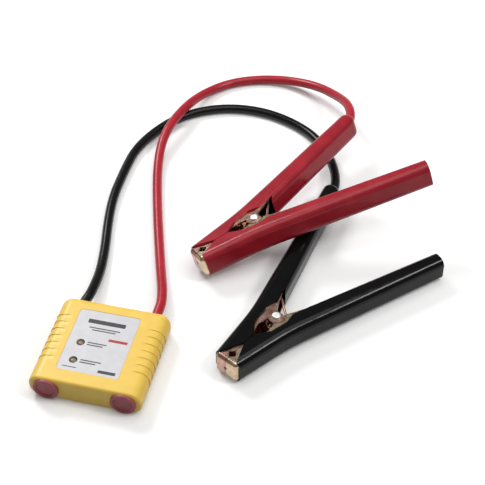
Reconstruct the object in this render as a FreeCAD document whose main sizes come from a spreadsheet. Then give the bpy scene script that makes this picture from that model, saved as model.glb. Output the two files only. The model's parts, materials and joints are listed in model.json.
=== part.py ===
import FreeCAD, Part
import math
import os
import re

import Sketcher
from FreeCAD import Placement, Rotation, Vector

# Driving sizes in millimetres and degrees, one cell each in the sheet
SIZES = {
    # case, two shells that meet at half height
    "case_width": 71.0, "case_length": 69.0, "case_height": 17.0, "case_wall": 2.2,
    "case_side_round": 7.4, "case_front_round": 2.0, "case_back_round": 6.0,
    # grip grooves round both long sides
    "groove_count": 7, "groove_pitch": 5.66, "groove_width": 2.8, "groove_depth": 0.4,
    "groove_middle": -0.5, "groove_end": 1.6, "groove_clear": 3.55,
    # label in its recess
    "label_width": 39.0, "label_length": 49.0, "label_thick": 0.25, "label_recess": 0.4,
    "label_corner": 2.0, "label_play": 0.15, "label_column": -1.3,
    # indicators
    "led_radius": 2.5, "led_flange": 0.45, "led_flange_thick": 1.0, "led_length": 8.6, "led_sink": 0.3,
    "led_play": 0.15, "led_column": -12.6, "led_upper": -1.8, "led_lower": -15.9, "led_leg": 0.5,
    "led_leg_gap": 2.54,
    # board and its seat
    "board_width": 58.0, "board_length": 44.0, "board_thick": 1.6, "board_seat": 3.6, "rib_width": 2.0,
    "rib_spacing": 32.0,
    # parts on the board
    "diode_radius": 2.6, "diode_length": 9.0, "diode_pitch": 7.5, "diode_row": 9.0, "diode_first": -6.0,
    "wire_radius": 0.6, "wire_reach": 2.5, "varistor_radius": 6.5, "varistor_thick": 4.4,
    "varistor_column": 6.0, "varistor_row": -10.0, "capacitor_radius": 3.9, "capacitor_length": 11.0,
    "capacitor_column": 21.0, "capacitor_row": -4.0, "resistor_radius": 1.1, "resistor_length": 6.0,
    "resistor_column": -21.0,
    # screws from below
    "screw_column": 11.0, "screw_row": 29.0, "screw_radius": 1.3, "screw_head_radius": 2.5,
    "screw_head_thick": 1.6, "screw_sink": 0.5, "screw_bite": 4.5, "screw_play": 0.06, "boss_radius": 3.4,
    # rubber plugs in the front end
    "plug_column": 24.2, "plug_radius": 8.0, "plug_proud": 1.7, "plug_rim": 1.7, "plug_dish": 0.9,
    "plug_round": 0.45, "spigot_radius": 5.4, "spigot_length": 6.5, "plug_play": 0.06,
    # leads and what holds them
    "lead_radius": 3.3, "lead_column": 24.2, "lead_inside": 12.0, "lead_play": 0.06, "lead_straight": 15.5,
    "lead_out": 20.0, "grommet_radius": 4.9, "grommet_length": 6.0, "core_radius": 1.7, "core_length": 8.0,
    "terminal_width": 7.0, "terminal_length": 6.5, "terminal_cover": 1.4,
    # clamp plan: pivot at the origin, jaws towards -X, handles towards +X, jaws meet on the X axis
    "jaw_length": 45.0, "jaw_half": 10.1, "jaw_flare": 9.5, "bend_place": -5.0, "bend_round": 150.0,
    "handle_angle": 17.4, "handle_width": 15.0, "handle_taper": 2.0, "handle_reach": 109.0,
    "throat_place": 22.0,
    # vinyl sleeves
    "sleeve_height": 18.0, "sleeve_wall": 1.3, "sleeve_play": 0.05, "sleeve_round": 5.2,
    "shoulder_round": 5.5, "sleeve_inner_wall": 2.2, "sleeve_cap": 3.0, "sleeve_gap": 0.3,
    "sleeve_mouth": 7.4, "mouth_depth": 18.0, "window_front": 21.0, "window_half": 8.8, "window_corner": 6.6,
    "window_corner_place": 12.0, "window_back": 12.5, "black_sleeve_end": 119.0, "red_sleeve_end": 111.0,
    # pressed steel arms
    "steel": 1.4, "tip_proud": 2.5, "jaw_gap": 0.3, "tooth_front": 3.5, "tooth_pitch": 6.0,
    "tooth_depth": 3.0, "tip_hole": 1.1, "steel_round": 2.8, "flange_front": 25.0, "flange_place": 12.5,
    "flange_half": 4.3, "flange_back": 10.0, "throat_half": 6.3, "steel_short": 12.0,
    # pivot
    "ear_radius": 5.6, "ear_back": 3.8, "ear_root": 2.6, "ear_gap": 0.2, "ear_room": 0.5,
    "rivet_radius": 1.9, "rivet_play": 0.05, "rivet_head_radius": 2.9, "rivet_head_thick": 1.3,
    "rivet_head_round": 1.1, "bush_radius": 3.4, "bush_play": 0.1,
    # torsion spring round the bush
    "spring_radius": 7.0, "spring_wire": 0.8, "spring_turns": 2, "spring_pitch": 2.3, "spring_leg": 26.0,
    "spring_clear": 0.15,
    # crimp barrel on the lead's end
    "crimp_radius": 3.0, "crimp_length": 11.0, "crimp_depth": 9.0,
    # where the clamps lie: pivot, heading, and the red one's tilt on the black one
    "black_pivot_across": 99.1, "black_pivot_along": 47.2, "black_heading": 62.0,
    "red_pivot_across": 70.2, "red_pivot_along": 119.1, "red_pivot_up": 19.3, "red_heading": 46.8,
    "red_pitch": -9.75, "red_roll": -14.8,
}

# Routes of the two leads on the floor, between the case and the clamps, chosen by hand
RED_ROUTE = [(13.7, 84, 3.3), (-5.3, 141, 3.3), (-16.3, 183, 3.9), (-19.3, 211, 10.5), (-13.8, 240, 10.5),
             (-2.5, 264, 4.5), (14.5, 283, 3.3), (36, 293.5, 3.3), (58.5, 295, 5.2), (81.7, 289, 10.5),
             (102.5, 277, 17.5), (115, 258, 25.5)]
BLACK_ROUTE = [(-23.5, 85, 3.3), (-37, 141, 3.3), (-39, 178, 3.3), (-29.5, 211, 3.3), (-9.5, 239.5, 3.3),
               (18.5, 254, 3.3), (49.5, 253.5, 3.3), (76.7, 243, 3.3), (96.7, 225, 4.7)]

doc = FreeCAD.newDocument("battery_tester")
sheet = doc.addObject("Spreadsheet::Sheet", "sizes")
for row, (alias, number) in enumerate(SIZES.items(), start=1):
    sheet.set(f"A{row}", alias)
    sheet.set(f"B{row}", str(number))
    sheet.setAlias(f"B{row}", alias)
doc.recompute()

parts = []


# Expressions and binding
def full(expression):
    """The expression with every size named as a cell of the sheet."""
    def cell(match):
        return "sizes." + match.group() if match.group() in SIZES else match.group()
    return re.sub(r"[a-z][a-z_]*", cell, expression)


def value(expression):
    """What the expression comes to, in millimetres or degrees."""
    return float(sheet.evalExpression(full(expression)))


def bind(thing, prop, expression):
    thing.setExpression(prop, full(expression))


def new_body(label):
    body = doc.addObject("PartDesign::Body", label)
    body.Label = label
    parts.append(body)
    return body


def origin_feature(body, role):
    return next(feature for feature in body.Origin.OriginFeatures if feature.Role == role)


# Sketches
def new_sketch(body, name, plane="XY_Plane", offset="0"):
    sketch = body.newObject("Sketcher::SketchObject", body.Label + "_" + name)
    sketch.AttachmentSupport = (origin_feature(body, plane), [""])
    sketch.MapMode = "FlatFace"
    bind(sketch, "AttachmentOffset.Base.z", offset)
    return sketch


def hold(sketch, constraint, expression):
    """Add a constraint whose value follows an expression."""
    index = sketch.addConstraint(constraint)
    bind(sketch, f"Constraints[{index}]", expression)


def hold_point(sketch, geometry, place, x, y):
    """Hold one point of the sketch at a place given by two expressions."""
    hold(sketch, Sketcher.Constraint("DistanceX", -1, 1, geometry, place, value(x)), x)
    hold(sketch, Sketcher.Constraint("DistanceY", -1, 1, geometry, place, value(y)), y)


def arc_about(centre, start, end):
    outward = (start - centre) + (end - centre)
    return Part.Arc(start, centre + outward.normalize() * (start - centre).Length, end)


def polygon(sketch, points, arcs=()):
    """A closed outline through points given as expressions.

    A side is straight, or an arc: its number, the centre and the radius are given in arcs.
    """
    corners = [Vector(value(x), value(y), 0) for x, y in points]
    count = len(points)
    round_sides = {number: (Vector(value(x), value(y), 0), radius) for number, x, y, radius in arcs}
    sides = []
    for i in range(count):
        start = corners[i]
        end = corners[(i + 1) % count]
        shape = arc_about(round_sides[i][0], start, end) if i in round_sides else Part.LineSegment(start, end)
        index = sketch.addGeometry(shape, False)
        turned = (sketch.getPoint(index, 1) - start).Length > 1e-6
        sides.append((index, 2, 1) if turned else (index, 1, 2))
    for i, (index, first, last) in enumerate(sides):
        following = sides[(i + 1) % count]
        sketch.addConstraint(Sketcher.Constraint("Coincident", index, last, following[0], following[1]))
    for (index, first, last), (x, y) in zip(sides, points):
        hold_point(sketch, index, first, x, y)
    for number, (centre, radius) in round_sides.items():
        hold(sketch, Sketcher.Constraint("Radius", sides[number][0], value(radius)), radius)
    return sketch


def circle(sketch, x, y, radius):
    shape = Part.Circle(Vector(value(x), value(y), 0), Vector(0, 0, 1), value(radius))
    index = sketch.addGeometry(shape, False)
    hold_point(sketch, index, 3, x, y)
    hold(sketch, Sketcher.Constraint("Radius", index, value(radius)), radius)
    return sketch


def rectangle(sketch, low_x, low_y, high_x, high_y):
    return polygon(sketch, [(low_x, low_y), (high_x, low_y), (high_x, high_y), (low_x, high_y)])


# Features
def pad(body, sketch, length, both=False, back=False):
    feature = body.newObject("PartDesign::Pad", sketch.Name + "_pad")
    feature.Profile = sketch
    feature.SideType = "Symmetric" if both else "One side"
    feature.Reversed = back
    bind(feature, "Length", length)
    doc.recompute()
    return feature


def cut(body, sketch, length):
    """A pocket to both sides of its sketch, which has to take material away."""
    before = body.Shape.Volume
    feature = body.newObject("PartDesign::Pocket", sketch.Name + "_pocket")
    feature.Profile = sketch
    feature.SideType = "Symmetric"
    bind(feature, "Length", length)
    doc.recompute()
    if not body.Shape.Volume < before:
        raise RuntimeError(feature.Name + " cuts nothing")
    return feature


def revolve(body, sketch, axis="V_Axis"):
    feature = body.newObject("PartDesign::Revolution", sketch.Name + "_turn")
    feature.Profile = sketch
    feature.ReferenceAxis = (sketch, [axis])
    feature.Angle = 360
    doc.recompute()
    return feature


def edges_where(body, test):
    """Names of the tip's edges whose ends and middle all pass the test."""
    names = []
    for number, edge in enumerate(body.Tip.Shape.Edges, start=1):
        middle = edge.valueAt((edge.FirstParameter + edge.LastParameter) / 2)
        if all(test(point) for point in [middle] + [vertex.Point for vertex in edge.Vertexes]):
            names.append(f"Edge{number}")
    return names


def fillet(body, name, test, radius):
    names = edges_where(body, test)
    if not names:
        raise RuntimeError(body.Label + " has no edges for " + name)
    rounded = body.Tip
    feature = body.newObject("PartDesign::Fillet", body.Label + "_" + name)
    feature.Base = (rounded, names)
    bind(feature, "Radius", radius)
    doc.recompute()
    return feature


def near(number, expression, slack=1e-4):
    return abs(number - value(expression)) < slack


# Case shells
def half_shell(label, top):
    """One shell of the case, with its cavity open at the joint at half height."""
    body = new_body(label)
    level = (lambda z: f"case_height - ({z})") if top else (lambda z: z)
    split = "case_height / 2"

    pad(body, shell_section(body, "section", level, "0"), "case_length", both=True)

    def end_loop(p, place):
        return near(p.y, place) and not (near(p.z, split) and abs(p.x) < value("case_width / 2") - 1e-4)
    fillet(body, "front", lambda p: end_loop(p, "-case_length / 2"), "case_front_round")
    fillet(body, "back", lambda p: end_loop(p, "case_length / 2"), "case_back_round")
    cut(body, shell_section(body, "cavity", level, "case_wall"), "case_length - 2 * case_wall")

    grooves = new_sketch(body, "grooves", "XZ_Plane", "(groove_count - 1) * groove_pitch / 2 - groove_middle")
    for side in ("", "-"):
        groove_outline(grooves, side, level, top)
    first = cut(body, grooves, "groove_width")
    pattern = body.newObject("PartDesign::LinearPattern", label + "_groove_row")
    pattern.Originals = [first]
    pattern.Direction = (origin_feature(body, "Y_Axis"), [""])
    bind(pattern, "Length", "(groove_count - 1) * groove_pitch")
    bind(pattern, "Occurrences", "groove_count")
    body.Tip = pattern
    doc.recompute()

    bosses = new_sketch(body, "bosses", "XY_Plane", split)
    for x, y in screw_places():
        circle(bosses, x, y, "boss_radius")
    pad(body, bosses, "case_height / 2 - case_wall / 2", back=not top)

    ends = new_sketch(body, "plug_holes", "XZ_Plane", "case_length / 2")
    exits = new_sketch(body, "lead_holes", "XZ_Plane", "-case_length / 2")
    for side in ("", "-"):
        circle(ends, side + "plug_column", split, "spigot_radius + plug_play")
        circle(exits, side + "lead_column", split, "lead_radius + lead_play")
    cut(body, ends, "3 * case_wall")
    cut(body, exits, "3 * case_wall")
    return body


def shell_section(body, name, level, inset):
    """Half of the case's section, moved in from its outside by inset."""
    split = "case_height / 2"
    half = f"(case_width / 2 - {inset})"
    middle = "(case_width / 2 - case_side_round)"
    spring_line = level("case_side_round")
    radius = f"case_side_round - {inset}"
    points = [(f"-{half}", split), (f"-{half}", spring_line), (f"-{middle}", level(inset)),
              (middle, level(inset)), (half, spring_line), (half, split)]
    arcs = [(1, f"-{middle}", spring_line, radius), (3, middle, spring_line, radius)]
    return polygon(new_sketch(body, name, "XZ_Plane"), points, arcs)


def groove_outline(sketch, side, level, top):
    """A slot round the side from the joint: it runs out on the top, and ends above the base."""
    split = "case_height / 2"
    middle = "case_width / 2 - case_side_round"
    radius = "case_side_round - groove_depth"
    foot = f"{middle} + sqrt(pow({radius}; 2) - pow(case_side_round - groove_end; 2))"
    start = "label_width / 2 + label_play - label_column + groove_clear"
    out = "case_width / 2 + groove_depth"
    floor = "case_width / 2 - groove_depth"
    ending = [(out, level("groove_end")), (foot, level("groove_end"))]
    run_out = [(out, level("-groove_depth")), (start, level("-groove_depth")), (start, level("0")),
               (middle, level("groove_depth"))]
    way = run_out if top else ending
    points = [(floor, split), (out, split)] + way + [(floor, level("case_side_round"))]
    points = [(f"{side}({x})", y) for x, y in points]
    polygon(sketch, points, [(len(points) - 2, f"{side}({middle})", level("case_side_round"), radius)])


def screw_places():
    return [(x + "screw_column", y + "screw_row") for x in ("", "-") for y in ("", "-")]


def make_case_bottom():
    body = half_shell("case_bottom", False)
    ribs = new_sketch(body, "ribs", "XY_Plane", "case_wall / 2")
    for side in (-1, 1):
        rectangle(ribs, f"{side} * rib_spacing / 2 - rib_width / 2", "-board_length / 2",
                  f"{side} * rib_spacing / 2 + rib_width / 2", "board_length / 2")
    pad(body, ribs, "board_seat - case_wall / 2")
    heads = new_sketch(body, "screw_heads")
    shanks = new_sketch(body, "screw_holes")
    for x, y in screw_places():
        circle(heads, x, y, "screw_head_radius + screw_play")
        circle(shanks, x, y, "screw_radius + screw_play")
    cut(body, heads, "2 * (screw_sink + screw_head_thick)")
    cut(body, shanks, "2 * case_height")


def make_case_top():
    body = half_shell("case_top", True)
    recess = new_sketch(body, "recess", "XY_Plane", "case_height")
    rectangle(recess, "label_column - (label_width / 2 + label_play)", "-(label_length / 2 + label_play)",
              "label_column + label_width / 2 + label_play", "label_length / 2 + label_play")
    cut(body, recess, "2 * label_recess")
    sunk = "case_height - label_recess"
    fillet(body, "recess_corners", lambda p: value(sunk) - 1e-4 < p.z < value("case_height") + 1e-4
           and near(abs(p.x - value("label_column")), "label_width / 2 + label_play")
           and near(abs(p.y), "label_length / 2 + label_play"), "label_corner + label_play")
    lights = new_sketch(body, "led_holes", "XY_Plane", "case_height")
    for y in ("led_upper", "led_lower"):
        circle(lights, "led_column", y, "led_radius + led_play")
    cut(body, lights, "3 * case_wall")
    pilots = new_sketch(body, "pilot_holes", "XY_Plane", "case_height / 2")
    for x, y in screw_places():
        circle(pilots, x, y, "screw_radius + screw_play")
    cut(body, pilots, "2 * screw_bite + 1")


def make_label():
    body = new_body("label_plate")
    face = new_sketch(body, "face", "XY_Plane", "case_height - label_recess")
    rectangle(face, "label_column - label_width / 2", "-label_length / 2", "label_column + label_width / 2",
              "label_length / 2")
    pad(body, face, "label_thick")
    fillet(body, "corners", lambda p: near(abs(p.x - value("label_column")), "label_width / 2")
           and near(abs(p.y), "label_length / 2"), "label_corner")
    lights = new_sketch(body, "led_holes", "XY_Plane", "case_height")
    for y in ("led_upper", "led_lower"):
        circle(lights, "led_column", y, "led_radius + led_play")
    cut(body, lights, "4 * label_recess")


def make_led(label, row_place):
    """An indicator: domed body on a flange, standing on two square legs."""
    body = new_body(label)
    body.Placement = Placement(Vector(value("led_column"), value(row_place), 0), Rotation())
    top = "case_height - led_sink"
    foot = "case_height - led_sink - led_length"
    profile = new_sketch(body, "profile", "XZ_Plane")
    polygon(profile, [("0", foot), ("led_radius + led_flange", foot),
                      ("led_radius + led_flange", f"{foot} + led_flange_thick"),
                      ("led_radius", f"{foot} + led_flange_thick"), ("led_radius", top), ("0", top)])
    revolve(body, profile)
    fillet(body, "dome", lambda p: near(p.z, top) and p.x * p.x + p.y * p.y > 1e-6, "led_radius * 0.8")
    legs = new_sketch(body, "legs", "XY_Plane", "board_seat + board_thick")
    for side in (-1, 1):
        rectangle(legs, f"{side} * led_leg_gap / 2 - led_leg / 2", "-led_leg / 2",
                  f"{side} * led_leg_gap / 2 + led_leg / 2", "led_leg / 2")
    pad(body, legs, f"{foot} + led_flange_thick / 2 - board_seat - board_thick")


def make_end_plug(label, side):
    """A rubber plug: dished face inside a raised rim, and a spigot in the end wall."""
    body = new_body(label)
    body.Placement = Placement(Vector(side * value("plug_column"), value("-case_length / 2"),
                                      value("case_height / 2")), Rotation(Vector(1, 0, 0), 90))
    profile = new_sketch(body, "profile", "XZ_Plane")
    rim = "plug_radius - plug_rim"
    dish = "plug_proud - plug_dish"
    polygon(profile, [("0", "-spigot_length"), ("spigot_radius", "-spigot_length"), ("spigot_radius", "0"),
                      ("plug_radius", "0"), ("plug_radius", "plug_proud"), (rim, "plug_proud"),
                      (f"{rim} - plug_dish", dish), ("0", dish)])
    revolve(body, profile)
    fillet(body, "rim", lambda p: near(p.z, "plug_proud"), "plug_round")


def make_screws():
    """Four pan-head screws, one shape in four places."""
    single = doc.addObject("PartDesign::Body", "screw_shape")
    profile = new_sketch(single, "profile", "XZ_Plane")
    polygon(profile, [("0", "screw_sink"), ("screw_head_radius", "screw_sink"),
                      ("screw_head_radius", "screw_sink + screw_head_thick"),
                      ("screw_radius", "screw_sink + screw_head_thick"),
                      ("screw_radius", "case_height / 2 + screw_bite - screw_radius"),
                      ("0", "case_height / 2 + screw_bite")])
    revolve(single, profile)
    slot = new_sketch(single, "slot", "XY_Plane", "screw_sink")
    rectangle(slot, "-screw_head_radius", "-screw_sink / 2", "screw_head_radius", "screw_sink / 2")
    cut(single, slot, "screw_head_thick")
    group = doc.addObject("Part::Feature", "case_screws")
    group.Label = "case_screws"
    copies = []
    for x, y in screw_places():
        copy = single.Shape.copy()
        copy.translate(Vector(value(x), value(y), 0))
        copies.append(copy)
    group.Shape = Part.makeCompound(copies)
    group.Placement = Placement()
    parts.append(group)


# Board and the parts on it
BOARD_TOP = "board_seat + board_thick"


def make_board():
    body = new_body("circuit_board")
    plan = new_sketch(body, "plan", "XY_Plane", "board_seat")
    rectangle(plan, "-board_width / 2", "-board_length / 2", "board_width / 2", "board_length / 2")
    pad(body, plan, "board_thick")


def lying_cylinder(radius, length, x, y):
    """A cylinder that lies along the board, centred at x, y."""
    shape = doc.addObject("Part::Cylinder", "lying_cylinder")
    bind(shape, "Radius", radius)
    bind(shape, "Height", length)
    place = Vector(value(x), value(f"{y} - {length} / 2"), value(f"{BOARD_TOP} + {radius}"))
    shape.Placement = Placement(place, Rotation(Vector(1, 0, 0), -90))
    return shape


def wired_part(radius, length, x, y):
    """A lying cylinder with a wire through it."""
    barrel = lying_cylinder(radius, length, x, y)
    wire = lying_cylinder("wire_radius", f"({length} + 2 * wire_reach)", x, y)
    wire.Placement.Base.z = value(f"{BOARD_TOP} + {radius}")
    joined = doc.addObject("Part::Fuse", "wired_part")
    joined.Base = barrel
    joined.Tool = wire
    return joined


def make_group(label, members):
    group = doc.addObject("Part::Compound", label)
    group.Label = label
    group.Links = members
    parts.append(group)
    doc.recompute()


def make_board_parts():
    columns = [f"diode_first + {i} * diode_pitch" for i in range(3)]
    make_group("suppressor_diodes", [wired_part("diode_radius", "diode_length", x, "diode_row")
                                     for x in columns])
    make_group("resistors", [wired_part("resistor_radius", "resistor_length", "resistor_column", y)
                             for y in ("led_upper", "led_lower")])
    make_group("capacitor", [lying_cylinder("capacitor_radius", "capacitor_length", "capacitor_column",
                                            "capacitor_row")])
    disc = new_body("varistor")
    plan = circle(new_sketch(disc, "plan", "XY_Plane", BOARD_TOP), "varistor_column", "varistor_row",
                  "varistor_radius")
    pad(disc, plan, "varistor_thick")
    fillet(disc, "edges", lambda p: p.z > 0, "varistor_thick / 4")


# Leads inside the case
LEAD_END = "case_length / 2 - lead_inside"


def make_lead_fittings(colour, side):
    """What holds one lead in the case: rubber ring, bare end and terminal block."""
    x = f"{side} * lead_column"
    middle = "case_height / 2"
    ring = new_body(colour + "_lead_grommet")
    face = new_sketch(ring, "face", "XZ_Plane", "-(case_length / 2 - case_wall - grommet_length)")
    circle(face, x, middle, "grommet_radius")
    circle(face, x, middle, "lead_radius + lead_play")
    pad(ring, face, "grommet_length", back=True)
    core = new_body(colour + "_core")
    near_end = f"{LEAD_END} - core_length"
    bare = circle(new_sketch(core, "bare", "XZ_Plane", f"-({near_end})"), x, middle, "core_radius")
    pad(core, bare, "core_length", back=True)
    block = new_body(colour + "_terminal")
    plan = new_sketch(block, "plan", "XY_Plane", BOARD_TOP)
    rectangle(plan, f"{x} - terminal_width / 2", near_end, f"{x} + terminal_width / 2",
              f"{near_end} + terminal_length")
    pad(block, plan, f"{middle} + core_radius + terminal_cover - ({BOARD_TOP})")
    bore = new_sketch(block, "bore", "XZ_Plane", f"-({near_end})")
    circle(bore, x, middle, "core_radius + lead_play")
    cut(block, bore, "3 * terminal_length")


# Clamp plan lines, as expressions; an inset moves a line in from the sleeve's outside
def jaw_line(inset):
    return f"(jaw_half + tan(jaw_flare) * jaw_length - ({inset}) / cos(jaw_flare))"


def handle_line(inset):
    return (f"(jaw_half + tan(jaw_flare) * (jaw_length + bend_place) - tan(handle_angle) * bend_place"
            f" - ({inset}) / cos(handle_angle))")


def on_jaw(x, inset):
    return x, f"{jaw_line(inset)} + tan(jaw_flare) * ({x})"


def on_handle(x, inset):
    return x, f"{handle_line(inset)} + tan(handle_angle) * ({x})"


def bend_point(inset):
    x = f"({jaw_line(inset)} - {handle_line(inset)}) / (tan(handle_angle) - tan(jaw_flare))"
    return on_jaw(x, inset)


def on_inside(x, inset):
    """A point on the inner line of the handle, which tapers towards its end."""
    start = on_handle("throat_place", f"handle_width - ({inset})")[1]
    return x, f"{start} + tan(handle_angle + handle_taper) * (({x}) - throat_place)"


def half_width(reach):
    return f"(handle_width - tan(handle_taper) * ({reach} - throat_place) / cos(handle_angle)) / 2"


def handle_end(reach, outer, inner):
    """Two corners of a square end across the handle, moved in from its outside and from its inside."""
    half = half_width(reach)
    return (on_handle(f"{reach} - ({half} - ({outer})) * sin(handle_angle)", outer),
            on_inside(f"{reach} + ({half} - ({inner})) * sin(handle_angle)", inner))


def outside(point, side, inset, slack):
    """True where a point is within slack of the clamp's outside, moved in by inset."""
    lines = [line(f"{point.x:.6f}", inset)[1] for line in (on_jaw, on_handle)]
    return side * point.y > max(value(y) for y in lines) - value(slack)


def sided(points, side):
    """The points on the lead arm's side, or mirrored to the free arm's side."""
    return points if side > 0 else [(x, f"-({y})") for x, y in points]


HANDLE_AXIS = "(handle_angle + handle_taper / 2)"
METAL = "(sleeve_wall + sleeve_play)"
METAL_RIM = "(sleeve_inner_wall + sleeve_play)"
METAL_HEIGHT = f"(sleeve_height - 2 * {METAL})"
TIP = "(jaw_length + tip_proud)"


def clamp_place(colour):
    """Where a clamp lies: the black one flat on the floor, the red one tilted across it."""
    up = "sleeve_height / 2" if colour == "black" else "red_pivot_up"
    pivot = Vector(value(f"{colour}_pivot_across"), value(f"{colour}_pivot_along"), value(up))
    if colour == "black":
        return Placement(pivot, Rotation(value("black_heading"), 0, 0))
    return Placement(pivot, Rotation(value("red_heading"), value("red_pitch"), value("red_roll")))


def clamp_body(colour, name):
    body = new_body(f"{colour}_{name}")
    body.Placement = clamp_place(colour)
    return body


def arm_blank(body, side):
    """A pressed channel: web on the outside, two flanges, closed jaw end with teeth."""
    front = f"-({TIP} - tooth_front)"
    back = f"-({TIP} - tooth_front - tooth_pitch)"
    valley = f"-({TIP} - tooth_front - tooth_pitch / 2)"
    edge = "jaw_gap / 2"
    end = handle_end("(handle_reach - steel_short)", METAL, METAL_RIM)
    throat = on_inside("throat_place", METAL_RIM)
    plan = [(f"-{TIP}", edge), on_jaw(f"-{TIP}", METAL), bend_point(METAL), end[0], end[1], throat,
            ("flange_back", "throat_half"), ("ear_back", "ear_root"), ("-ear_back", "ear_root"),
            ("-flange_place", "flange_half"), ("-flange_front", edge), (back, edge), (valley, "tooth_depth"),
            (front, edge)]
    pad(body, polygon(new_sketch(body, "plan"), sided(plan, side)), METAL_HEIGHT, both=True)

    def bent_edge(p):
        """True on the edges between the web, the flanges and the jaw's end."""
        across = near(abs(p.z), f"{METAL_HEIGHT} / 2")
        at_tip = near(p.x, f"-{TIP}")
        at_web = outside(p, side, METAL, "sleeve_play")
        return across + at_tip + at_web > 1
    fillet(body, "bends", bent_edge, "steel_round")


def arm_hollow(body, side):
    web = f"({METAL} + steel)"
    inside = f"-({TIP} - steel)"
    low = "-(ear_radius + ear_room)"
    far = "handle_reach + handle_width"
    plan = [(inside, low), on_jaw(inside, web), bend_point(web), on_handle(far, web), (far, low)]
    cut(body, polygon(new_sketch(body, "hollow"), sided(plan, side)), f"{METAL_HEIGHT} - 2 * steel")
    hole = circle(new_sketch(body, "tip_hole", "YZ_Plane", f"-{TIP}"), "0", "0", "tip_hole")
    cut(body, hole, "3 * steel")


def ear_plan(sketch):
    """A round ear with a flat towards the handles, where the spring shows."""
    corner = "sqrt(pow(ear_radius; 2) - pow(ear_back; 2))"
    points = [("ear_back", corner), ("-ear_radius", "0"), ("ear_back", f"-{corner}")]
    return polygon(sketch, points, [(0, "0", "0", "ear_radius"), (1, "0", "0", "ear_radius")])


def rivet_hole(body):
    hole = circle(new_sketch(body, "rivet_hole"), "0", "0", "rivet_radius + rivet_play")
    cut(body, hole, "2 * sleeve_height")


def make_lead_arm(colour):
    """The half that takes the lead, with the outer pair of ears."""
    body = clamp_body(colour, "lead_arm")
    arm_blank(body, 1)
    pad(body, ear_plan(new_sketch(body, "ears")), METAL_HEIGHT, both=True)
    arm_hollow(body, 1)
    rivet_hole(body)


def make_free_arm(colour):
    """The half that swings, with its ears set inside the other half's."""
    body = clamp_body(colour, "free_arm")
    arm_blank(body, -1)
    arm_hollow(body, -1)
    room = circle(new_sketch(body, "ear_room"), "0", "0", "ear_radius + ear_room")
    cut(body, room, "2 * sleeve_height")
    height = f"({METAL_HEIGHT} - 2 * steel - 2 * ear_gap)"
    web = f"({METAL} + steel / 2)"
    neck = [("-ear_radius", "0"), on_jaw("-ear_radius", web), on_handle("ear_back", web), ("ear_back", "0")]
    pad(body, polygon(new_sketch(body, "neck"), sided(neck, -1)), height, both=True)
    pad(body, ear_plan(new_sketch(body, "ears")), height, both=True)
    inner = f"({METAL} + steel)"
    side = "ear_radius + ear_room"
    back = f"-({side})"
    space = [(back, back), on_jaw(back, inner), on_handle(side, inner), (side, back)]
    cut(body, polygon(new_sketch(body, "ear_space"), sided(space, -1)), f"{height} - 2 * steel")
    rivet_hole(body)


def make_rivet(colour):
    body = clamp_body(colour, "rivet")
    half = f"{METAL_HEIGHT} / 2"
    top = f"{half} + rivet_head_thick"
    profile = new_sketch(body, "profile", "XZ_Plane")
    polygon(profile, [("0", f"-({top})"), ("rivet_head_radius", f"-({top})"),
                      ("rivet_head_radius", f"-({half})"), ("rivet_radius", f"-({half})"),
                      ("rivet_radius", half), ("rivet_head_radius", half), ("rivet_head_radius", top),
                      ("0", top)])
    revolve(body, profile)
    fillet(body, "heads", lambda p: near(abs(p.z), top) and p.x * p.x + p.y * p.y > 1e-6, "rivet_head_round")


EAR_INSIDE = f"({METAL_HEIGHT} / 2 - 2 * steel - ear_gap)"


def make_bush(colour):
    body = clamp_body(colour, "bush")
    ring = new_sketch(body, "ring")
    circle(ring, "0", "0", "bush_radius")
    circle(ring, "0", "0", "rivet_radius + rivet_play")
    pad(body, ring, f"2 * ({EAR_INSIDE} - bush_play)", both=True)


PAST_FRONT = "-(jaw_length + sleeve_wall)"
PAST_MIDDLE = "-sleeve_wall"


def sleeve_blank(body, side, reach, closed):
    """The outside of a vinyl sleeve, with its plan's corners rounded."""
    end = handle_end(reach, "0", "0")
    plan = [("-jaw_length", "sleeve_gap"), on_jaw("-jaw_length", "0"), bend_point("0"), end[0], end[1],
            on_inside("window_back", "0"), ("0", "window_half"), ("-window_corner_place", "window_corner"),
            ("-window_front", "sleeve_gap")]
    pad(body, polygon(new_sketch(body, "plan"), sided(plan, side)), "sleeve_height", both=True)

    def at(corner):
        x, y = corner
        return lambda p: near(p.x, x, 1e-3) and near(side * p.y, y, 1e-3)
    fillet(body, "bend", at(bend_point("0")), "bend_round")
    if closed:
        fillet(body, "outer_shoulder", at(end[0]), "shoulder_round")
        fillet(body, "inner_shoulder", at(end[1]), "shoulder_round")


def sleeve_hollow(body, side, reach):
    """The space for the steel: open at the jaw and the window, a tube along the handle."""
    wall = "sleeve_wall"
    end = handle_end(reach, wall, "sleeve_inner_wall")
    plan = [(PAST_FRONT, PAST_MIDDLE), on_jaw(PAST_FRONT, wall), bend_point(wall), end[0], end[1],
            on_inside("throat_place", "sleeve_inner_wall"), ("window_back - 2 * sleeve_wall", PAST_MIDDLE)]
    cut(body, polygon(new_sketch(body, "hollow"), sided(plan, side)), "sleeve_height - 2 * sleeve_wall")
    inner_face = "sleeve_height / 2 - sleeve_wall"
    fillet(body, "seat", lambda p: near(abs(p.z), inner_face) and outside(p, side, wall, "sleeve_play"),
           "steel_round + sleeve_play")


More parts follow.
